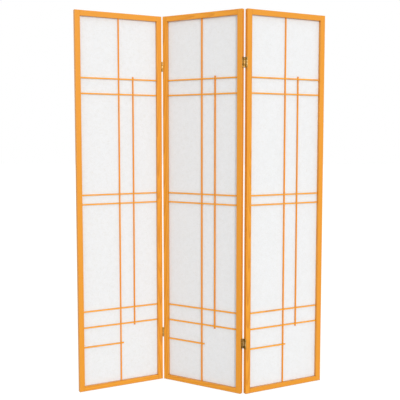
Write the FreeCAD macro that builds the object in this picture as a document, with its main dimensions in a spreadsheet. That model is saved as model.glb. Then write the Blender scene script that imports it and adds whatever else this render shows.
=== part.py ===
import FreeCAD, Part
import os
import re
import Sketcher

# A shoji folding screen: three paper-filled wooden panels in a zigzag, joined at each fold by
# two double-action hinges. Millimetres and degrees, +Z up, floor at z = 0, and the origin under
# the centre of the centre panel. Every panel and the hinge pieces on it are drawn in that
# panel's own frame: x across from its left edge, y from its front face to its back, z up.

# name, value, what it sets
dimensions = [
    ("panelHeight", 1784, "floor to top of every panel"),
    ("panelWidth", 432, "width of every panel over its stiles"),
    ("panelThick", 20, "front face to back face of a frame"),
    ("foldAngle", 58.4, "turn from one panel to the next where the screen stands"),
    ("foldGap", 5, "space between neighbouring stiles when the screen is flat"),
    ("stileWidth", 25, "face width of the uprights of a frame"),
    ("topRailWidth", 25, "face width of the top rail"),
    ("bottomRailWidth", 22.5, "face width of the bottom rail"),
    ("frameArris", 0.8, "rounding of the frame's long edges"),
    ("barWidth", 6, "face width of a lattice bar"),
    ("barDepth", 6, "lattice bar from front to back"),
    ("barSetback", 8, "front of the lattice behind the front of the frame"),
    ("barArris", 0.4, "rounding of the lattice bars"),
    ("barSocket", 3, "how far a lattice bar is let into the frame"),
    ("longUprightAcross", 214, "centre of the full-height upright from the left edge"),
    ("shortUprightAcross", 286, "centre of the short upright from the left edge"),
    ("topBarDrop", 304.5, "centre of the highest cross bar below the top"),
    ("highPairGap", 72, "between the two bars of the high pair"),
    ("midBarRise", 891, "centre of the lower bar of the middle pair above the floor"),
    ("midPairGap", 44.3, "between the two bars of the middle pair"),
    ("lowBarRise", 303.2, "centre of the lower bar of the low pair above the floor"),
    ("lowPairGap", 77.4, "between the two bars of the low pair"),
    ("shortBarRise", 208.6, "centre of the short cross bar above the floor"),
    ("shortBarOverrun", 14, "end of the short cross bar past the long upright's centre"),
    ("shortUprightOverrun", 12, "ends of the short upright past its last cross bars' centres"),
    ("rebateWidth", 6, "step round the back of the opening that the paper lies in"),
    ("paperThick", 0.4, "thickness of the paper"),
    ("paperPlay", 0.5, "paper's edge to the side of the step"),
    ("beadRound", 3, "rounded inner edge of the beads that hold the paper"),
    ("dowelRadius", 3, "dowels in the frame's corners"),
    ("dowelSpread", 5, "each dowel above or below the middle of its rail"),
    ("dowelInStile", 13, "length of a dowel inside the stile"),
    ("dowelInRail", 17, "length of a dowel inside the rail"),
    ("holeSpare", 0.5, "a hole deeper than what is glued or driven into it"),
    ("fitPlay", 0.05, "radial play of pins, dowels and screws in their holes"),
    ("hingeInset", 238.5, "centre of a hinge from the nearer end of the panel"),
    ("hingeHeight", 46, "height of a hinge"),
    ("leafThick", 1.2, "leaf of a hinge, screwed on the edge of a stile"),
    ("leafKnuckleHeight", 20, "knuckle in the middle of a leaf"),
    ("linkThick", 1.2, "plates between the two pins of a hinge"),
    ("pinProud", 1, "axis of a pin out from the panel's face"),
    ("pinRadius", 1.2, "hinge pin"),
    ("pinHeadRadius", 2, "head at each end of a pin"),
    ("pinHeadHeight", 1.0, "height of a pin's head"),
    ("hingePlay", 0.3, "a knuckle to the wood and plates it turns past"),
    ("knuckleGap", 0.2, "one knuckle to the next along the pin"),
    ("screwRadius", 1.6, "shank of a hinge screw"),
    ("screwHeadRadius", 2.7, "countersunk head of a hinge screw"),
    ("screwHeadDepth", 1.1, "depth of that head"),
    ("screwLength", 16, "length of a hinge screw over all"),
    ("screwPointLength", 3, "tapered point of a hinge screw"),
    ("screwRise", 13.5, "the two screws of a leaf above and below its middle"),
    ("recessWidth", 0.8, "arms of the cross in a screw's head"),
    ("recessLength", 3.4, "tip to tip of that cross"),
    ("recessDepth", 0.7, "depth of that cross"),
]

doc = FreeCAD.newDocument("FoldingScreen")
sheet = doc.addObject("Spreadsheet::Sheet", "Sizes")
for row, (alias, value, meaning) in enumerate(dimensions, start=1):
    sheet.set(f"A{row}", alias)
    sheet.set(f"B{row}", str(value))
    sheet.setAlias(f"B{row}", alias)
    sheet.set(f"C{row}", meaning)
doc.recompute()

aliasWord = re.compile(r"\b(" + "|".join(alias for alias, value, meaning in dimensions) + r")\b")
subParts = []

# Heights and depths that several pieces share
openingFoot = "bottomRailWidth"
openingTop = "(panelHeight - topRailWidth)"
railMiddles = {"bottom": "bottomRailWidth / 2", "top": "(panelHeight - topRailWidth / 2)"}
rebateFloor = "(barSetback + barDepth)"
dowelBack = f"({rebateFloor} / 2)"
beadThick = f"(panelThick - {rebateFloor} - paperThick)"
knuckleRadius = "(foldGap / 2 - hingePlay)"
frontPin = "(-pinProud)"
backPin = "(panelThick + pinProud)"
shortUprightTop = "(panelHeight - topBarDrop + shortUprightOverrun)"
shortUprightFoot = "(lowBarRise - shortUprightOverrun)"
hingeCentres = {"lower": "hingeInset", "upper": "(panelHeight - hingeInset)"}

# Centre heights of the cross bars that run from stile to stile, and of the one that doesn't
fullBars = {
    "high_pair_top_bar": "(panelHeight - topBarDrop)",
    "high_pair_low_bar": "(panelHeight - topBarDrop - highPairGap)",
    "mid_pair_top_bar": "(midBarRise + midPairGap)",
    "mid_pair_low_bar": "midBarRise",
    "low_pair_top_bar": "(lowBarRise + lowPairGap)",
    "low_pair_low_bar": "lowBarRise",
}
shortBar = "shortBarRise"
allBars = list(fullBars.values()) + [shortBar]

# Where the left edge and front face of each panel lie on the floor, and which way it is turned
halfTurn = "foldAngle / 2 * 1 deg"
cosTurn = f"cos({halfTurn})"
sinTurn = f"sin({halfTurn})"
panelPlans = {
    "left_panel": (
        f"-(1.5 * panelWidth + foldGap) * {cosTurn} - (panelThick / 2 + 2 * pinProud) * {sinTurn}",
        f"-(panelWidth * {sinTurn} + panelThick * {cosTurn}) / 2",
        halfTurn,
    ),
    "centre_panel": (
        f"-(panelWidth * {cosTurn} + panelThick * {sinTurn}) / 2",
        f"(panelWidth * {sinTurn} - panelThick * {cosTurn}) / 2",
        f"-({halfTurn})",
    ),
    "right_panel": (
        f"(panelWidth / 2 + foldGap) * {cosTurn} + (1.5 * panelThick + 2 * pinProud) * {sinTurn}",
        f"-(panelWidth * {sinTurn} + panelThick * {cosTurn}) / 2",
        halfTurn,
    ),
}


def bind(thing, prop, text):
    thing.setExpression(prop, aliasWord.sub(r"Sizes.\1", text))


def standInPanel(thing, panel):
    across, back, turn = panelPlans[panel]
    spin = f"rotation(vector(0; 0; 1); {turn})"
    bind(thing, "Placement", f"placement(vector({across}; {back}; 0); {spin})")


def finishSubPart(thing, label, panel):
    thing.Label = label
    standInPanel(thing, panel)
    subParts.append(thing)


# ---- sketched pieces: frame, lattice, paper and beads ----

def rectangle(left, right, bottom, top):
    return [(left, bottom), (right, bottom), (right, top), (left, top)]


def newSketch(body, name, planeRole, offset):
    plane = [item for item in body.Origin.OriginFeatures if item.Role == planeRole][0]
    sketch = body.newObject("Sketcher::SketchObject", name)
    sketch.AttachmentSupport = [(plane, "")]
    sketch.MapMode = "FlatFace"
    bind(sketch, "AttachmentOffset.Base.z", offset)
    return sketch


def holdPoint(sketch, edge, end, across, up):
    for kind, text in (("DistanceX", across), ("DistanceY", up)):
        index = sketch.addConstraint(Sketcher.Constraint(kind, -1, 1, edge, end, 1.0))
        bind(sketch, f"Constraints[{index}]", text)


def drawOutlines(sketch, outlines):
    for points in outlines:
        first = sketch.GeometryCount
        count = len(points)
        for step in range(count):
            start = FreeCAD.Vector(step, step * step, 0)
            end = FreeCAD.Vector(step + 1, (step + 1) ** 2, 0)
            sketch.addGeometry(Part.LineSegment(start, end), False)
        for step in range(count):
            following = first + (step + 1) % count
            sketch.addConstraint(Sketcher.Constraint("Coincident", first + step, 2, following, 1))
        for step, (across, up) in enumerate(points):
            holdPoint(sketch, first + step, 1, across, up)


def drawCircles(sketch, centres, radius):
    for across, up in centres:
        circle = Part.Circle(FreeCAD.Vector(0, 0, 0), FreeCAD.Vector(0, 0, 1), 1)
        edge = sketch.addGeometry(circle, False)
        holdPoint(sketch, edge, 3, across, up)
        index = sketch.addConstraint(Sketcher.Constraint("Radius", edge, 1.0))
        bind(sketch, f"Constraints[{index}]", radius)


def board(name, outline, front, thickness):
    """A flat piece with the given front view, from its front towards the panel's back."""
    body = doc.addObject("PartDesign::Body", name)
    sketch = newSketch(body, "FrontView", "XZ_Plane", f"-({front} + {thickness})")
    drawOutlines(sketch, [outline])
    pad = body.newObject("PartDesign::Pad", "Board")
    pad.Profile = sketch
    bind(pad, "Length", thickness)
    doc.recompute([sketch, pad])
    return body


def easeEdges(body, edgeNames, radius):
    blank = body.Tip
    fillet = body.newObject("PartDesign::Fillet", "Arris")
    fillet.Base = (blank, edgeNames)
    bind(fillet, "Radius", radius)
    return fillet


def edgesAlong(body, direction):
    names = []
    for number, edge in enumerate(body.Tip.Shape.Edges, start=1):
        run = edge.Vertexes[-1].Point - edge.Vertexes[0].Point
        if run.Length > 0 and abs(run.dot(direction)) > 0.999 * run.Length:
            names.append(f"Edge{number}")
    return names


def edgeNearest(body, place):
    gaps = [(edge.CenterOfMass - place).Length for edge in body.Tip.Shape.Edges]
    return [f"Edge{gaps.index(min(gaps)) + 1}"]


def cutPocket(body, name, sketch, depth, alongNormal):
    pocket = body.newObject("PartDesign::Pocket", name)
    pocket.Profile = sketch
    pocket.Reversed = alongNormal
    bind(pocket, "Length", depth)


def cutFromBack(body, name, back, depth, outlines):
    sketch = newSketch(body, name + "View", "XZ_Plane", f"-({back})")
    drawOutlines(sketch, outlines)
    cutPocket(body, name, sketch, depth, True)


def cutFromFront(body, name, front, depth, outlines):
    sketch = newSketch(body, name + "View", "XZ_Plane", f"-({front})")
    drawOutlines(sketch, outlines)
    cutPocket(body, name, sketch, depth, False)


def drill(body, name, face, towardsRight, centres, radius, depth):
    sketch = newSketch(body, name + "View", "YZ_Plane", face)
    drawCircles(sketch, centres, radius)
    cutPocket(body, name, sketch, depth, towardsRight)


def span(centre, width):
    return f"{centre} - {width} / 2", f"{centre} + {width} / 2"


def dowelHeights(end):
    return [f"{railMiddles[end]} {sign} dowelSpread" for sign in "+-"]


def screwPlaces():
    return [("panelThick / 2", f"{centre} {sign} screwRise")
            for centre in hingeCentres.values() for sign in "+-"]


def makeStile(panel, side, hinged):
    """An upright of the frame: rebated, socketed for the bars, drilled for dowels and screws."""
    left = side == "left"
    outer = "0" if left else "panelWidth"
    inner = "stileWidth" if left else "(panelWidth - stileWidth)"
    inwards = "-" if left else "+"
    low, high = (outer, inner) if left else (inner, outer)
    body = board(f"{panel}_{side}_stile", rectangle(low, high, "0", "panelHeight"), "0", "panelThick")
    easeEdges(body, edgesAlong(body, FreeCAD.Vector(0, 0, 1)), "frameArris")

    rebate = rectangle(inner, f"{inner} {inwards} rebateWidth", f"{openingFoot} - rebateWidth",
                       f"{openingTop} + rebateWidth")
    cutFromBack(body, "Rebate", "panelThick", f"panelThick - {rebateFloor}", [rebate])

    sockets = []
    for height in allBars if left else fullBars.values():
        sockets.append(rectangle(inner, f"{inner} {inwards} barSocket", *span(height, "barWidth")))
    cutFromBack(body, "BarSockets", "panelThick", "panelThick - barSetback", sockets)

    dowelCentres = [(dowelBack, up) for end in railMiddles for up in dowelHeights(end)]
    drill(body, "DowelHoles", inner, not left, dowelCentres, "dowelRadius + fitPlay",
          "dowelInStile + holeSpare")
    if hinged:
        depth = "screwLength - leafThick + holeSpare"
        drill(body, "ScrewHoles", outer, left, screwPlaces(), "screwRadius + fitPlay", depth)
    finishSubPart(body, body.Label, panel)


def makeRail(panel, end):
    """A top or bottom rail between the stiles, with the rebate along its inner edge."""
    top = end == "top"
    outer = "panelHeight" if top else "0"
    inner = openingTop if top else openingFoot
    outwards = "+" if top else "-"
    low, high = (inner, outer) if top else (outer, inner)
    between = ("stileWidth", "panelWidth - stileWidth")
    body = board(f"{panel}_{end}_rail", rectangle(*between, low, high), "0", "panelThick")
    easeEdges(body, edgesAlong(body, FreeCAD.Vector(1, 0, 0)), "frameArris")

    rebate = rectangle(*between, inner, f"{inner} {outwards} rebateWidth")
    cutFromBack(body, "Rebate", "panelThick", f"panelThick - {rebateFloor}", [rebate])
    socket = rectangle(*span("longUprightAcross", "barWidth"), inner, f"{inner} {outwards} barSocket")
    cutFromBack(body, "UprightSocket", "panelThick", "panelThick - barSetback", [socket])

    dowelCentres = [(dowelBack, up) for up in dowelHeights(end)]
    depth = "dowelInRail + holeSpare"
    drill(body, "LeftDowelHoles", between[0], True, dowelCentres, "dowelRadius + fitPlay", depth)
    drill(body, "RightDowelHoles", between[1], False, dowelCentres, "dowelRadius + fitPlay", depth)
    finishSubPart(body, body.Label, panel)


def latticeBar(label, outline):
    body = board(label, outline, "barSetback", "barDepth")
    arris = easeEdges(body, [""], "barArris")
    arris.UseAllEdges = True
    return body


def makeUpright(panel, name, across, foot, top, crossedBars):
    """An upright bar, halved at the back wherever a cross bar passes behind it."""
    sides = span(across, "barWidth")
    body = latticeBar(f"{panel}_{name}", rectangle(*sides, foot, top))
    laps = [rectangle(*sides, *span(height, "barWidth")) for height in crossedBars]
    cutFromBack(body, "Laps", rebateFloor, "barDepth / 2", laps)
    finishSubPart(body, body.Label, panel)


def makeCrossBar(panel, name, height, end, crossedUprights):
    """A cross bar from the left stile, halved at the front wherever an upright passes."""
    levels = span(height, "barWidth")
    body = latticeBar(f"{panel}_{name}", rectangle("stileWidth - barSocket", end, *levels))
    laps = [rectangle(*span(across, "barWidth"), *levels) for across in crossedUprights]
    cutFromFront(body, "Laps", "barSetback", "barDepth / 2", laps)
    finishSubPart(body, body.Label, panel)


def makeLattice(panel):
    makeUpright(panel, "long_upright", "longUprightAcross", f"{openingFoot} - barSocket",
                f"{openingTop} + barSocket", allBars)
    makeUpright(panel, "short_upright", "shortUprightAcross", shortUprightFoot,
                shortUprightTop, list(fullBars.values()))
    for name, height in fullBars.items():
        makeCrossBar(panel, name, height, "panelWidth - stileWidth + barSocket",
                     ["longUprightAcross", "shortUprightAcross"])
    makeCrossBar(panel, "short_cross_bar", shortBar, "longUprightAcross + shortBarOverrun",
                 ["longUprightAcross"])


def rebateOutline(play):
    """The step round the back of the opening, drawn in by the given play."""
    return rectangle(f"stileWidth - rebateWidth + {play}",
                     f"panelWidth - stileWidth + rebateWidth - {play}",
                     f"{openingFoot} - rebateWidth + {play}",
                     f"{openingTop} + rebateWidth - {play}")


def makePaper(panel):
    body = board(f"{panel}_paper", rebateOutline("paperPlay"), rebateFloor, "paperThick")
    finishSubPart(body, body.Label, panel)


def makeBeads(panel):
    """Four mitred strips behind the paper, each rounded along its inner back edge."""
    size = {alias: value for alias, value, meaning in dimensions}
    outside = rebateOutline("0")
    inside = rectangle("stileWidth", "panelWidth - stileWidth", openingFoot, openingTop)
    openingEdges = [
        (size["panelWidth"] / 2, size["bottomRailWidth"]),
        (size["panelWidth"] - size["stileWidth"], size["panelHeight"] / 2),
        (size["panelWidth"] / 2, size["panelHeight"] - size["topRailWidth"]),
        (size["stileWidth"], size["panelHeight"] / 2),
    ]
    strips = []
    for side, (across, up) in enumerate(openingEdges):
        after = (side + 1) % len(openingEdges)
        outline = [outside[side], outside[after], inside[after], inside[side]]
        strip = board(f"{panel}_bead_{side}", outline, f"{rebateFloor} + paperThick", beadThick)
        innerEdge = edgeNearest(strip, FreeCAD.Vector(across, size["panelThick"], up))
        easeEdges(strip, innerEdge, f"min(beadRound; 0.8 * {beadThick}; 0.8 * rebateWidth)")
        strips.append(strip)
    gather(f"{panel}_paper_beads", panel, strips)


# ---- pieces of simple solids: dowels, hinges, pins and screws ----

def place(thing, across, back, up):
    for axis, text in zip("xyz", (across, back, up)):
        bind(thing, f"Placement.Base.{axis}", text)


def block(name, across, back, up, length, width, height):
    thing = doc.addObject("Part::Box", name)
    place(thing, across, back, up)
    for prop, text in (("Length", length), ("Width", width), ("Height", height)):
        bind(thing, prop, text)
    return thing


def upright(thing):
    return thing


def pointRight(thing):
    thing.Placement.Rotation = FreeCAD.Rotation(FreeCAD.Vector(0, 1, 0), 90)
    return thing


def pointLeft(thing):
    thing.Placement.Rotation = FreeCAD.Rotation(FreeCAD.Vector(0, 1, 0), -90)
    return thing


def rod(name, turn, across, back, up, radius, length):
    thing = turn(doc.addObject("Part::Cylinder", name))
    place(thing, across, back, up)
    bind(thing, "Radius", radius)
    bind(thing, "Height", length)
    return thing


def taper(name, turn, across, back, up, startRadius, endRadius, length):
    thing = turn(doc.addObject("Part::Cone", name))
    place(thing, across, back, up)
    for prop, text in (("Radius1", startRadius), ("Radius2", endRadius), ("Height", length)):
        bind(thing, prop, text)
    return thing


def fuse(name, pieces):
    thing = doc.addObject("Part::MultiFuse", name)
    thing.Shapes = pieces
    return thing


def cut(name, base, tools):
    thing = doc.addObject("Part::Cut", name)
    thing.Base = base
    thing.Tool = fuse(name + "Tools", tools)
    return thing


def gather(label, panel, pieces):
    thing = doc.addObject("Part::Compound", label)
    thing.Links = pieces
    finishSubPart(thing, label, panel)


def makeDowels(panel):
    """Two dowels across each corner joint, glued into the stile and into the rail."""
    length = "dowelInStile + dowelInRail"
    starts = ("stileWidth - dowelInStile", "panelWidth - stileWidth - dowelInRail")
    dowels = []
    for start in starts:
        for end in railMiddles:
            for up in dowelHeights(end):
                dowels.append(rod("Dowel", pointRight, start, dowelBack, up, "dowelRadius", length))
    gather(f"{panel}_dowels", panel, dowels)


def outFrom(edge, distance):
    """x of a point that far out from a panel's left or right edge, in the gap of the fold."""
    return f"-({distance})" if edge == "left" else f"panelWidth + {distance}"


def makeLeaf(edge, centre):
    """A leaf on the edge of a stile, with its knuckle on the back pin, or the front one."""
    onLeft = edge == "left"
    pinBack = frontPin if onLeft else backPin
    pinAcross = outFrom(edge, "foldGap / 2")
    plateFront = f"({frontPin} + {knuckleRadius} + hingePlay)"
    plateBack = f"({backPin} - {knuckleRadius} - hingePlay)"
    tabFront, tabBack = (pinBack, plateBack) if onLeft else (plateFront, pinBack)
    near = outFrom(edge, "leafThick") if onLeft else outFrom(edge, "0")
    tabFoot = f"{centre} - leafKnuckleHeight / 2"
    plate = block("Plate", near, plateFront, f"{centre} - hingeHeight / 2",
                  "leafThick", f"{plateBack} - {plateFront}", "hingeHeight")
    tab = block("Tab", near, tabFront, tabFoot, "leafThick", f"{tabBack} - {tabFront}",
                "leafKnuckleHeight")
    knuckle = rod("Knuckle", upright, pinAcross, pinBack, tabFoot, knuckleRadius,
                  "leafKnuckleHeight")
    tools = [rod("Bore", upright, pinAcross, pinBack, tabFoot, "pinRadius + fitPlay",
                 "leafKnuckleHeight")]
    intoWood = pointRight if onLeft else pointLeft
    face = outFrom(edge, "leafThick")
    for back, up in screwPlaces():
        if up.startswith(centre):
            tools.append(taper("Countersink", intoWood, face, back, up, "screwHeadRadius + fitPlay",
                               "screwRadius + fitPlay", "screwHeadDepth"))
            tools.append(rod("ScrewWay", intoWood, face, back, up, "screwRadius + fitPlay",
                             "leafThick"))
    return cut("Leaf", fuse("LeafBlank", [plate, tab, knuckle]), tools)


def makeLink(edge, centre):
    """Two plates from pin to pin, one above the knuckles of the leaves and one below them."""
    across = outFrom(edge, "foldGap / 2")
    foot = f"{centre} - hingeHeight / 2"
    web = block("Web", f"{across} - linkThick / 2", frontPin, foot,
                "linkThick", f"{backPin} - {frontPin}", "hingeHeight")
    barrels = [rod("Barrel", upright, across, pin, foot, knuckleRadius, "hingeHeight")
               for pin in (frontPin, backPin)]
    reach = "(foldGap / 2 + hingePlay)"
    openTall = "(leafKnuckleHeight + 2 * knuckleGap)"
    tools = [block("Opening", f"{across} - {reach}", f"{frontPin} - {reach}",
                   f"{centre} - {openTall} / 2", f"2 * {reach}",
                   f"{backPin} - {frontPin} + 2 * {reach}", openTall)]
    for pin in (frontPin, backPin):
        tools.append(rod("Bore", upright, across, pin, foot, "pinRadius + fitPlay", "hingeHeight"))
    return cut("Link", fuse("LinkBlank", [web] + barrels), tools)


def makePin(edge, pinBack, centre):
    across = outFrom(edge, "foldGap / 2")
    foot = f"{centre} - hingeHeight / 2"
    top = f"{centre} + hingeHeight / 2"
    shank = rod("Shank", upright, across, pinBack, foot, "pinRadius", "hingeHeight")
    edgeRadius = "(pinHeadRadius - pinHeadHeight / 2)"
    lowHead = taper("LowHead", upright, across, pinBack, f"{foot} - pinHeadHeight",
                    edgeRadius, "pinHeadRadius", "pinHeadHeight")
    topHead = taper("TopHead", upright, across, pinBack, top,
                    "pinHeadRadius", edgeRadius, "pinHeadHeight")
    return fuse("Pin", [shank, lowHead, topHead])


def makeScrew(edge, back, up):
    """A countersunk wood screw, its head flush in the leaf and its point in the stile."""
    intoWood = pointRight if edge == "left" else pointLeft
    head = taper("Head", intoWood, outFrom(edge, "leafThick"), back, up,
                 "screwHeadRadius", "screwRadius", "screwHeadDepth")
    shank = rod("Shank", intoWood, outFrom(edge, "leafThick - screwHeadDepth"), back, up,
                "screwRadius", "screwLength - screwHeadDepth - screwPointLength")
    point = taper("Point", intoWood, outFrom(edge, "(leafThick - screwLength + screwPointLength)"),
                  back, up, "screwRadius", "screwRadius / 8", "screwPointLength")
    floor = outFrom(edge, "leafThick") if edge == "left" else outFrom(edge, "leafThick - recessDepth")
    arms = []
    for width, height in (("recessWidth", "recessLength"), ("recessLength", "recessWidth")):
        arms.append(block("Recess", floor, f"{back} - {width} / 2", f"{up} - {height} / 2",
                          "recessDepth", width, height))
    return cut("Screw", fuse("ScrewBlank", [head, shank, point]), arms)


def makeLeaves(label, panel, edge):
    gather(label, panel, [makeLeaf(edge, centre) for centre in hingeCentres.values()])


def makeScrews(panel, edges):
    screws = [makeScrew(edge, back, up) for edge in edges for back, up in screwPlaces()]
    gather(f"{panel}_hinge_screws", panel, screws)


def makeLinks(fold, panel, edge):
    """The links and pins of a fold, which lie square to the outer panel as the screen stands."""
    gather(f"{fold}_fold_links", panel, [makeLink(edge, centre) for centre in hingeCentres.values()])
    pins = [makePin(edge, pinBack, centre)
            for centre in hingeCentres.values() for pinBack in (frontPin, backPin)]
    gather(f"{fold}_fold_pins", panel, pins)


# ---- the screen ----

hingedEdges = {"left_panel": ["right"], "centre_panel": ["left", "right"], "right_panel": ["left"]}
for panel, edges in hingedEdges.items():
    for side in ("left", "right"):
        makeStile(panel, side, side in edges)
    for end in ("top", "bottom"):
        makeRail(panel, end)
    makeLattice(panel)
    makePaper(panel)
    makeBeads(panel)
    makeDowels(panel)
    makeScrews(panel, edges)
makeLeaves("left_fold_outer_leaves", "left_panel", "right")
makeLeaves("left_fold_inner_leaves", "centre_panel", "left")
makeLeaves("right_fold_inner_leaves", "centre_panel", "right")
makeLeaves("right_fold_outer_leaves", "right_panel", "left")
makeLinks("left", "left_panel", "right")
makeLinks("right", "right_panel", "left")
doc.recompute()

# ---- checks, then one file for each piece ----

for thing in doc.Objects:
    if {"Invalid", "Error"} & set(thing.State):
        raise RuntimeError(f"{thing.Label} did not build: {thing.State}")
    if thing.TypeId == "PartDesign::Pocket":
        removed = thing.BaseFeature.Shape.Volume - thing.Shape.Volume
        if removed <= 0:
            raise RuntimeError(f"{thing.Label} cuts nothing")
for thing in subParts:
    if thing.Shape.isNull() or not thing.Shape.isValid():
        raise RuntimeError(f"{thing.Label} has no valid shape")

os.makedirs("parts", exist_ok=True)
for thing in subParts:
    thing.Shape.exportStep(f"parts/{thing.Label}.step")
print(len(subParts), "pieces written")
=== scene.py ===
import math
import random

import bmesh
import bpy
from mathutils import Matrix, Vector


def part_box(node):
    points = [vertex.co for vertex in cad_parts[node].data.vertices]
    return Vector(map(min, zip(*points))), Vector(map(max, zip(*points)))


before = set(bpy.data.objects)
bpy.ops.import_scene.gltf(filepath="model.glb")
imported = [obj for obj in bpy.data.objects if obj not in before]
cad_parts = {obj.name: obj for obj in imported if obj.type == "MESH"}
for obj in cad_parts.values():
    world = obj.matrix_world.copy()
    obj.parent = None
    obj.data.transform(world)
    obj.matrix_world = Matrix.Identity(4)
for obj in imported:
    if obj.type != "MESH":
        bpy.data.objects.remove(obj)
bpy.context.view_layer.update()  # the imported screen: every piece is already on its body

# The three panels stand in a zigzag, each turned this many degrees about Z
panelTurn = {"left_panel": 29.2, "centre_panel": -29.2, "right_panel": 29.2}


def linear(sRGB, shade=1.0):
    # Blender's colours are linear, so a colour picked on the screen is turned to that
    channels = [int(sRGB[i:i + 2], 16) / 255 for i in (1, 3, 5)]
    turned = [c / 12.92 if c <= 0.04045 else ((c + 0.055) / 1.055) ** 2.4 for c in channels]
    return [min(c * shade, 1.0) for c in turned] + [1.0]


def addNode(tree, kind, settings=None, values=None, links=None):
    node = tree.nodes.new(kind)
    for name, value in (settings or {}).items():
        setattr(node, name, value)
    for socket, value in (values or {}).items():
        node.inputs[socket].default_value = value
    for socket, source in (links or {}).items():
        tree.links.new(source, node.inputs[socket])
    return node


def newMaterial(name):
    material = bpy.data.materials.new(name)
    material.use_nodes = True
    material.node_tree.nodes.clear()
    return material, material.node_tree


def setRamp(ramp, stops):
    elements = ramp.color_ramp.elements
    while len(elements) > 1:
        elements.remove(elements[-1])
    elements[0].position, elements[0].color = stops[0]
    for place, colour in stops[1:]:
        elements.new(place).color = colour


def finishMaterial(tree, surface):
    output = addNode(tree, "ShaderNodeOutputMaterial")
    tree.links.new(surface.outputs["BSDF"], output.inputs["Surface"])


def paint(nodeName, material):
    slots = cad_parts[nodeName].data.materials
    slots.clear()
    slots.append(material)


def perMetre(mm):
    return 1000 / mm  # how often a pattern of that many millimetres comes in a metre


# Frame and lattice: sticks of pine under honey lacquer

pine = {
    "earlyWood": "#EA9C26",     # the wide pale part of a ring under amber lacquer
    "midWood": "#E4951F",
    "lateWood": "#D6861A",      # the thin dark edge of a ring
    "ringWidth": 2.8,           # mm, slow-grown softwood
    "ringWander": 5.0,          # mm that a ring strays along the stick
    "wanderLength": 260,        # mm from one bend of the grain to the next
    "fibreWidth": 0.7,          # mm: a real fibre is 0.04 mm, drawn this coarse so that it shows
    "fibreLength": 45,          # mm
    "fibreDark": 0.92,
    "pithNear": 28,             # mm from the stick's middle to the middle of its log
    "pithFar": 75,
    "tilt": 1.3,                # degrees between the stick and its log, which makes arched grain
    "toneSpread": 0.02,         # how much one stick differs from the next
    "paintedShadeReach": 3,           # mm out of an inner corner over which shade is painted into the colour
    # painted shade: how dark the colour is made right in an inner corner
    "paintedCornerShade": 0.45,
    "lacquerRoughness": (0.34, 0.46),
    "specular": 0.4,
    "coat": 0.1,
    "coatRoughness": 0.22,
    "bump": 0.12,               # mm
}
# A bar is hardly more than a pixel wide and blends with the paper, so its colour is set stronger
# than the frame's. Uprights and cross bars were each measured against the photograph and then
# trimmed, so these are corrections for the picture and not the wood's own colour.
uprightBarPine = {
    **pine,
    "earlyWood": "#F39A12",
    "midWood": "#ED9310",
    "lateWood": "#DE840D",
    # the bars get lighter painted shade in their inner corners
    "paintedCornerShade": 0.75,
}
crossBarPine = {
    **pine,
    "earlyWood": "#F8A912",
    "midWood": "#F2A110",
    "lateWood": "#E2900D",
    # the bars get lighter painted shade in their inner corners
    "paintedCornerShade": 0.75,
}


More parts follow.
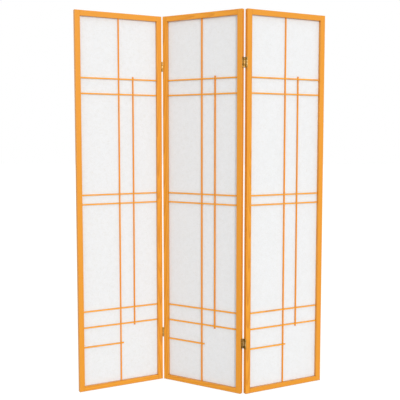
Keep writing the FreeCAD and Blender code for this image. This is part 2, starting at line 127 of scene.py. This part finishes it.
def lacqueredPine(name, nodeName, turn, runsAcross, seed, finish):
    # Honey-stained pine, planed and sprayed with satin lacquer: soft orange with fine
    # lines along each stick, curved rings on its ends, and a low sheen
    dice = random.Random(seed)
    material, tree = newMaterial(name)
    # the stick's own axes: Z runs along it, whichever way it lies in the panel
    along = Matrix.Rotation(math.radians(-90), 3, "Y") if runsAcross else Matrix.Identity(3)
    tilt = Matrix.Rotation(math.radians(dice.uniform(-1, 1) * finish["tilt"]), 3, "X")
    tilt = tilt @ Matrix.Rotation(math.radians(dice.uniform(-1, 1) * finish["tilt"]), 3, "Y")
    toStick = tilt @ along @ Matrix.Rotation(math.radians(-turn), 3, "Z")
    low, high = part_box(nodeName)
    log = dice.uniform(0, 2 * math.pi)
    far = dice.uniform(finish["pithNear"], finish["pithFar"]) / 1000
    # a few metres up its own log, so that no two sticks share their grain
    pith = Vector((far * math.cos(log), far * math.sin(log), dice.uniform(2, 9)))
    place = pith - toStick @ ((low + high) / 2)

    coords = addNode(tree, "ShaderNodeTexCoord")
    stick = addNode(tree, "ShaderNodeMapping",
                    values={"Location": place, "Rotation": toStick.to_euler("XYZ")},
                    links={"Vector": coords.outputs["Object"]})
    # the grain strays slowly along the stick and five times as fast across it
    slow = perMetre(finish["wanderLength"])
    bends = addNode(tree, "ShaderNodeVectorMath", {"operation": "MULTIPLY"},
                    {1: (slow * 5, slow * 5, slow)}, {0: stick.outputs["Vector"]})
    wander = addNode(tree, "ShaderNodeTexNoise", values={"Scale": 1, "Detail": 2, "Roughness": 0.45},
                     links={"Vector": bends.outputs[0]})
    stray = finish["ringWander"] / 1000
    strayed = addNode(tree, "ShaderNodeVectorMath", {"operation": "MULTIPLY_ADD"},
                      {1: (stray, stray, 0)},
                      {0: wander.outputs["Color"], 2: stick.outputs["Vector"]})
    # at a Scale of 1 the rings come 0.314 m apart, which is a tenth of pi
    rings = addNode(tree, "ShaderNodeTexWave",
                    {"wave_type": "RINGS", "rings_direction": "Z", "wave_profile": "SAW"},
                    {"Scale": 0.314 * perMetre(finish["ringWidth"]), "Distortion": 0.6,
                     "Detail": 2, "Detail Scale": 0.4},
                    {"Vector": strayed.outputs[0]})
    across = perMetre(finish["fibreWidth"])
    drawn = addNode(tree, "ShaderNodeVectorMath", {"operation": "MULTIPLY"},
                    {1: (across, across, perMetre(finish["fibreLength"]))},
                    {0: stick.outputs["Vector"]})
    fibres = addNode(tree, "ShaderNodeTexNoise", values={"Scale": 1, "Detail": 3, "Roughness": 0.6},
                     links={"Vector": drawn.outputs[0]})

    tone = 1 + dice.uniform(-1, 1) * finish["toneSpread"]
    ringColour = addNode(tree, "ShaderNodeValToRGB", links={"Fac": rings.outputs["Fac"]})
    early, middle, late = (linear(finish[part], tone) for part in ("earlyWood", "midWood", "lateWood"))
    setRamp(ringColour, [(0.0, early), (0.55, middle), (0.88, late), (1.0, middle)])
    fibreShade = addNode(tree, "ShaderNodeMapRange",
                         values={"From Min": 0.35, "From Max": 0.62,
                                 "To Min": finish["fibreDark"], "To Max": 1.0},
                         links={"Value": fibres.outputs["Fac"]})
    # Painted shade: an ambient-occlusion node darkens the colour in inner corners, where shade falls
    corner = addNode(tree, "ShaderNodeAmbientOcclusion", {"samples": 8},
                     {"Distance": finish["paintedShadeReach"] / 1000})
    paintedShadeFactor = addNode(tree, "ShaderNodeMapRange",
                          values={"From Min": 0.5, "To Min": finish["paintedCornerShade"]},
                          links={"Value": corner.outputs["AO"]})
    shade = addNode(tree, "ShaderNodeMath", {"operation": "MULTIPLY"},
                    links={0: fibreShade.outputs["Result"], 1: paintedShadeFactor.outputs["Result"]})
    colour = addNode(tree, "ShaderNodeVectorMath", {"operation": "SCALE"},
                     links={0: ringColour.outputs["Color"], "Scale": shade.outputs[0]})
    smooth, rough = finish["lacquerRoughness"]
    sheen = addNode(tree, "ShaderNodeMapRange",
                    values={"From Min": 0.3, "From Max": 0.7, "To Min": smooth, "To Max": rough},
                    links={"Value": fibres.outputs["Fac"]})
    relief = addNode(tree, "ShaderNodeBump",
                     values={"Strength": 0.5, "Distance": finish["bump"] / 1000},
                     links={"Height": fibres.outputs["Fac"]})
    surface = addNode(tree, "ShaderNodeBsdfPrincipled",
                      values={"IOR": 1.5, "Specular IOR Level": finish["specular"],
                              "Coat Weight": finish["coat"], "Coat Roughness": finish["coatRoughness"]},
                      links={"Base Color": colour.outputs[0], "Roughness": sheen.outputs["Result"],
                             "Normal": relief.outputs["Normal"]})
    finishMaterial(tree, surface)
    return material


uprightSticks = ["left_stile", "right_stile", "long_upright", "short_upright"]
crossSticks = ["top_rail", "bottom_rail", "high_pair_top_bar", "high_pair_low_bar", "mid_pair_top_bar",
               "mid_pair_low_bar", "low_pair_top_bar", "low_pair_low_bar", "short_cross_bar"]
for panelNumber, (panel, turn) in enumerate(panelTurn.items()):
    for number, stickName in enumerate(uprightSticks + crossSticks):
        nodeName = f"{panel}_{stickName}"
        finish = pine
        if stickName.endswith("upright"):
            finish = uprightBarPine
        elif stickName.endswith("bar"):
            finish = crossBarPine
        paint(nodeName, lacqueredPine(f"honeyLacquerPine_{nodeName}", nodeName, turn,
                                      stickName in crossSticks, 100 * panelNumber + number, finish))
    beadsName = f"{panel}_paper_beads"
    paint(beadsName, lacqueredPine(f"honeyLacquerPine_{panel}_beads", beadsName, turn,
                                   False, 100 * panelNumber + 50, pine))
print("wood done")


# Dowels: raw beech

beech = {
    "paleWood": "#DCC198",
    "fleckWood": "#B98F60",
    "fleckWidth": 0.6,          # mm
    "fleckLength": 4,           # mm, the short dark flecks that mark beech
    "roughness": 0.72,
    "bump": 0.1,                # mm
}


def rawBeech(name, turn):
    # Turned beech left raw, so it glues: pale, dry, with short darker flecks along it
    material, tree = newMaterial(name)
    coords = addNode(tree, "ShaderNodeTexCoord")
    lying = addNode(tree, "ShaderNodeMapping",
                    values={"Rotation": (0, 0, math.radians(-turn))},
                    links={"Vector": coords.outputs["Object"]})
    across = perMetre(beech["fleckWidth"])
    drawn = addNode(tree, "ShaderNodeVectorMath", {"operation": "MULTIPLY"},
                    {1: (perMetre(beech["fleckLength"]), across, across)}, {0: lying.outputs["Vector"]})
    flecks = addNode(tree, "ShaderNodeTexNoise", values={"Scale": 1, "Detail": 3, "Roughness": 0.55},
                     links={"Vector": drawn.outputs[0]})
    colour = addNode(tree, "ShaderNodeValToRGB", links={"Fac": flecks.outputs["Fac"]})
    setRamp(colour, [(0.32, linear(beech["fleckWood"])), (0.46, linear(beech["paleWood"]))])
    relief = addNode(tree, "ShaderNodeBump",
                     values={"Strength": 0.4, "Distance": beech["bump"] / 1000},
                     links={"Height": flecks.outputs["Fac"]})
    surface = addNode(tree, "ShaderNodeBsdfPrincipled",
                      values={"Roughness": beech["roughness"], "IOR": 1.5},
                      links={"Base Color": colour.outputs["Color"], "Normal": relief.outputs["Normal"]})
    finishMaterial(tree, surface)
    return material


for panel, turn in panelTurn.items():
    paint(f"{panel}_dowels", rawBeech(f"rawBeech_{panel}", turn))
print("dowels done")


# Panels: shoji paper with long mulberry fibres

paper = {
    "sheet": "#DFE0E1",         # sends back three quarters of the light
    "thin": "#DCDDDE",          # where the pulp lies thinner
    "fibre": "#D7D6D3",
    "paintedShadeReach": 2,           # mm from the wood over which shade is painted into the paper's colour
    # painted shade: how dark the paper is made right against the wood
    "paintedCornerShade": 0.8,
    "cloudSize": 22,            # mm from one cloud of pulp to the next
    "fibreWidth": 0.9,          # mm: drawn about four times as wide as a real one, so that it shows
    "fibreLength": 26,          # mm
    "fibreTurns": (14, 73, 127),  # degrees in the sheet, so that they lie all ways
    "fibreCurl": 9.0,           # mm aside
    "curlSize": 30,             # mm from one bend to the next
    "roughness": 0.86,
    "glow": 0.18,               # how much light goes into it
    "glowReach": 0.8,           # mm that the light spreads in it
    "bump": 0.06,               # mm
}


def shojiPaper(name, turn):
    # Machine-made shoji paper of mulberry and wood pulp: dull white, cloudy, with long
    # stray fibres in it, and light comes through it
    material, tree = newMaterial(name)
    coords = addNode(tree, "ShaderNodeTexCoord")
    flat = addNode(tree, "ShaderNodeMapping",
                   values={"Rotation": (0, 0, math.radians(-turn)), "Location": (turn, 0, turn * 0.37)},
                   links={"Vector": coords.outputs["Object"]})
    clouds = addNode(tree, "ShaderNodeTexNoise",
                     values={"Scale": perMetre(paper["cloudSize"]), "Detail": 5, "Roughness": 0.62},
                     links={"Vector": flat.outputs["Vector"]})
    curl = addNode(tree, "ShaderNodeTexNoise",
                   values={"Scale": perMetre(paper["curlSize"]), "Detail": 1},
                   links={"Vector": flat.outputs["Vector"]})
    reach = paper["fibreCurl"] / 1000
    curled = addNode(tree, "ShaderNodeVectorMath", {"operation": "MULTIPLY_ADD"},
                     {1: (reach, reach, reach)},
                     {0: curl.outputs["Color"], 2: flat.outputs["Vector"]})
    strands = None
    for angle in paper["fibreTurns"]:
        lying = addNode(tree, "ShaderNodeMapping",
                        values={"Rotation": (0, math.radians(angle), 0),
                                "Location": (angle * 0.1, 0, angle * 0.2)},
                        links={"Vector": curled.outputs[0]})
        drawn = addNode(tree, "ShaderNodeVectorMath", {"operation": "MULTIPLY"},
                        {1: (perMetre(paper["fibreLength"]), 1, perMetre(paper["fibreWidth"]))},
                        {0: lying.outputs["Vector"]})
        streaks = addNode(tree, "ShaderNodeTexNoise", values={"Scale": 1, "Detail": 0},
                          links={"Vector": drawn.outputs[0]})
        sparse = addNode(tree, "ShaderNodeMapRange",
                         values={"From Min": 0.66, "From Max": 0.76},
                         links={"Value": streaks.outputs["Fac"]})
        if strands is None:
            strands = sparse.outputs["Result"]
        else:
            strands = addNode(tree, "ShaderNodeMath", {"operation": "MAXIMUM"},
                              links={0: strands, 1: sparse.outputs["Result"]}).outputs[0]
    pulp = addNode(tree, "ShaderNodeValToRGB", links={"Fac": clouds.outputs["Fac"]})
    setRamp(pulp, [(0.34, linear(paper["thin"])), (0.6, linear(paper["sheet"]))])
    # socket 0 is the factor, and 6 and 7 are the two colours
    fibred = addNode(tree, "ShaderNodeMix", {"data_type": "RGBA"}, {7: linear(paper["fibre"])},
                     {0: strands, 6: pulp.outputs["Color"]})
    # Painted shade: an ambient-occlusion node darkens the paper's colour where it meets the wood
    corner = addNode(tree, "ShaderNodeAmbientOcclusion", {"samples": 8},
                     {"Distance": paper["paintedShadeReach"] / 1000})
    paintedShadeFactor = addNode(tree, "ShaderNodeMapRange",
                          values={"From Min": 0.5, "To Min": paper["paintedCornerShade"]},
                          links={"Value": corner.outputs["AO"]})
    colour = addNode(tree, "ShaderNodeVectorMath", {"operation": "SCALE"},
                     links={0: fibred.outputs[2], "Scale": paintedShadeFactor.outputs["Result"]})
    height = addNode(tree, "ShaderNodeMath", {"operation": "MULTIPLY_ADD"}, {1: 0.7},
                     {0: strands, 2: clouds.outputs["Fac"]})
    relief = addNode(tree, "ShaderNodeBump", values={"Strength": 0.5, "Distance": paper["bump"] / 1000},
                     links={"Height": height.outputs[0]})
    surface = addNode(tree, "ShaderNodeBsdfPrincipled",
                      values={"Roughness": paper["roughness"], "IOR": 1.45, "Specular IOR Level": 0.3,
                              "Subsurface Weight": paper["glow"], "Subsurface Radius": (1, 1, 1),
                              "Subsurface Scale": paper["glowReach"] / 1000},
                      links={"Base Color": colour.outputs[0], "Normal": relief.outputs["Normal"]})
    finishMaterial(tree, surface)
    return material


for panel, turn in panelTurn.items():
    paint(f"{panel}_paper", shojiPaper(f"shojiPaper_{panel}", turn))
print("paper done")


# Hinges: antique brass

brass = {
    "patina": "#857038",        # the olive brown of the dull places
    "metal": "#C8A764",
    "rubbed": "#EBD6A4",        # the brightest places
    "patchSize": 7,             # mm
    "grainSize": 0.5,           # mm
    "roughness": (0.30, 0.52),
    "bump": 0.04,               # mm
    # how far each piece's colours are shifted lighter (plus) or darker (minus) than the middling one
    "leafToneShift": 0.10,
    "linkToneShift": -0.04,
    "pinToneShift": 0.16,
    "screwToneShift": -0.12,
}


def antiqueBrass(name, rubbed):
    # Pressed brass, browned and lacquered: dark olive brown with bright rubbed places,
    # half dull, with sharp small glints on its knuckles
    material, tree = newMaterial(name)
    coords = addNode(tree, "ShaderNodeTexCoord")
    patches = addNode(tree, "ShaderNodeTexNoise",
                      values={"Scale": perMetre(brass["patchSize"]), "Detail": 4, "Roughness": 0.6},
                      links={"Vector": coords.outputs["Object"]})
    grains = addNode(tree, "ShaderNodeTexNoise",
                     values={"Scale": perMetre(brass["grainSize"]), "Detail": 2},
                     links={"Vector": coords.outputs["Object"]})
    colour = addNode(tree, "ShaderNodeValToRGB", links={"Fac": patches.outputs["Fac"]})
    # the piece's shift moves all three stops, so the whole piece comes out lighter or darker
    setRamp(colour, [(0.38 - rubbed, linear(brass["patina"])), (0.55 - rubbed, linear(brass["metal"])),
                     (0.78 - rubbed, linear(brass["rubbed"]))])
    dull = addNode(tree, "ShaderNodeMapRange",
                   values={"From Min": 0.3, "From Max": 0.7,
                           "To Min": brass["roughness"][1], "To Max": brass["roughness"][0]},
                   links={"Value": patches.outputs["Fac"]})
    relief = addNode(tree, "ShaderNodeBump",
                     values={"Strength": 0.3, "Distance": brass["bump"] / 1000},
                     links={"Height": grains.outputs["Fac"]})
    surface = addNode(tree, "ShaderNodeBsdfPrincipled", values={"Metallic": 1.0},
                      links={"Base Color": colour.outputs["Color"], "Roughness": dull.outputs["Result"],
                             "Normal": relief.outputs["Normal"]})
    finishMaterial(tree, surface)
    return material


leafBrass = antiqueBrass("antiqueBrassLeaf", brass["leafToneShift"])
linkBrass = antiqueBrass("antiqueBrassLink", brass["linkToneShift"])
pinBrass = antiqueBrass("antiqueBrassPin", brass["pinToneShift"])
screwBrass = antiqueBrass("antiqueBrassScrew", brass["screwToneShift"])
for fold in ("left_fold", "right_fold"):
    paint(f"{fold}_outer_leaves", leafBrass)
    paint(f"{fold}_inner_leaves", leafBrass)
    paint(f"{fold}_links", linkBrass)
    paint(f"{fold}_pins", pinBrass)
for panel in panelTurn:
    paint(f"{panel}_hinge_screws", screwBrass)
print("hinges done")


# Floor, lights and camera

studio = {
    "floorColour": "#606060",
    "floorGlow": 0.47,          # lit from below like a photographer's white table
    "floorGlowSeen": 0.90,      # to the camera it is just white, so that hardly a shadow shows
    "floorSize": 60.0,
    "surroundLight": 0.9,       # white walls and ceiling
    "backdrop": 1.0,            # what the camera sees behind the screen
}
softLights = {
    # degrees right of the front, degrees up, and degrees wide, which softens the shadows
    "keyLight": {"turn": 20, "rise": 9, "spread": 18, "strength": 1.45},
    "backLight": {"turn": 200, "rise": 40, "spread": 40, "strength": 0.7},
}

floorMesh = bmesh.new()
bmesh.ops.create_grid(floorMesh, x_segments=1, y_segments=1, size=studio["floorSize"] / 2)
floorData = bpy.data.meshes.new("studioFloor")
floorMesh.to_mesh(floorData)
floorMesh.free()
floor = bpy.data.objects.new("studioFloor", floorData)
bpy.context.scene.collection.objects.link(floor)
floorMaterial, floorTree = newMaterial("paleFloorPaper")
floorRays = addNode(floorTree, "ShaderNodeLightPath")
floorGlow = addNode(floorTree, "ShaderNodeMapRange",
                    values={"To Min": studio["floorGlow"], "To Max": studio["floorGlowSeen"]},
                    links={"Value": floorRays.outputs["Is Camera Ray"]})
floorSurface = addNode(floorTree, "ShaderNodeBsdfPrincipled",
                       values={"Base Color": linear(studio["floorColour"]), "Roughness": 0.9,
                               "Emission Color": (1, 1, 1, 1)},
                       links={"Emission Strength": floorGlow.outputs["Result"]})
finishMaterial(floorTree, floorSurface)
floorData.materials.append(floorMaterial)

world = bpy.data.worlds.new("studioWorld")
world.use_nodes = True
worldTree = world.node_tree
worldTree.nodes.clear()
rays = addNode(worldTree, "ShaderNodeLightPath")
strength = addNode(worldTree, "ShaderNodeMapRange",
                   values={"To Min": studio["surroundLight"], "To Max": studio["backdrop"]},
                   links={"Value": rays.outputs["Is Camera Ray"]})
walls = addNode(worldTree, "ShaderNodeBackground", values={"Color": (1, 1, 1, 1)},
                links={"Strength": strength.outputs["Result"]})
addNode(worldTree, "ShaderNodeOutputWorld", links={"Surface": walls.outputs["Background"]})
bpy.context.scene.world = world
bpy.context.scene.view_settings.view_transform = "Standard"

for name, light in softLights.items():
    turn, rise = math.radians(light["turn"]), math.radians(light["rise"])
    away = Vector((math.sin(turn) * math.cos(rise), -math.cos(turn) * math.cos(rise), math.sin(rise)))
    lampData = bpy.data.lights.new(name, "SUN")
    lampData.angle = math.radians(light["spread"])
    lampData.energy = light["strength"]
    lamp = bpy.data.objects.new(name, lampData)
    lamp.location = away * 5
    lamp.rotation_euler = away.to_track_quat("Z", "Y").to_euler()
    bpy.context.scene.collection.objects.link(lamp)

view = {
    "place": (0.092844, -3.419131, 1.197985),
    "tipDown": 4.853,           # degrees below level
    "swing": 1.723,             # degrees to the left
    "lens": 64.736,             # mm on a 36 mm sensor
}
cameraData = bpy.data.cameras.new("photoCamera")
cameraData.sensor_width = 36
cameraData.lens = view["lens"]
camera = bpy.data.objects.new("photoCamera", cameraData)
camera.location = view["place"]
camera.rotation_euler = (math.radians(90 - view["tipDown"]), 0, math.radians(view["swing"]))
bpy.context.scene.collection.objects.link(camera)
bpy.context.scene.camera = camera
print("studio done")
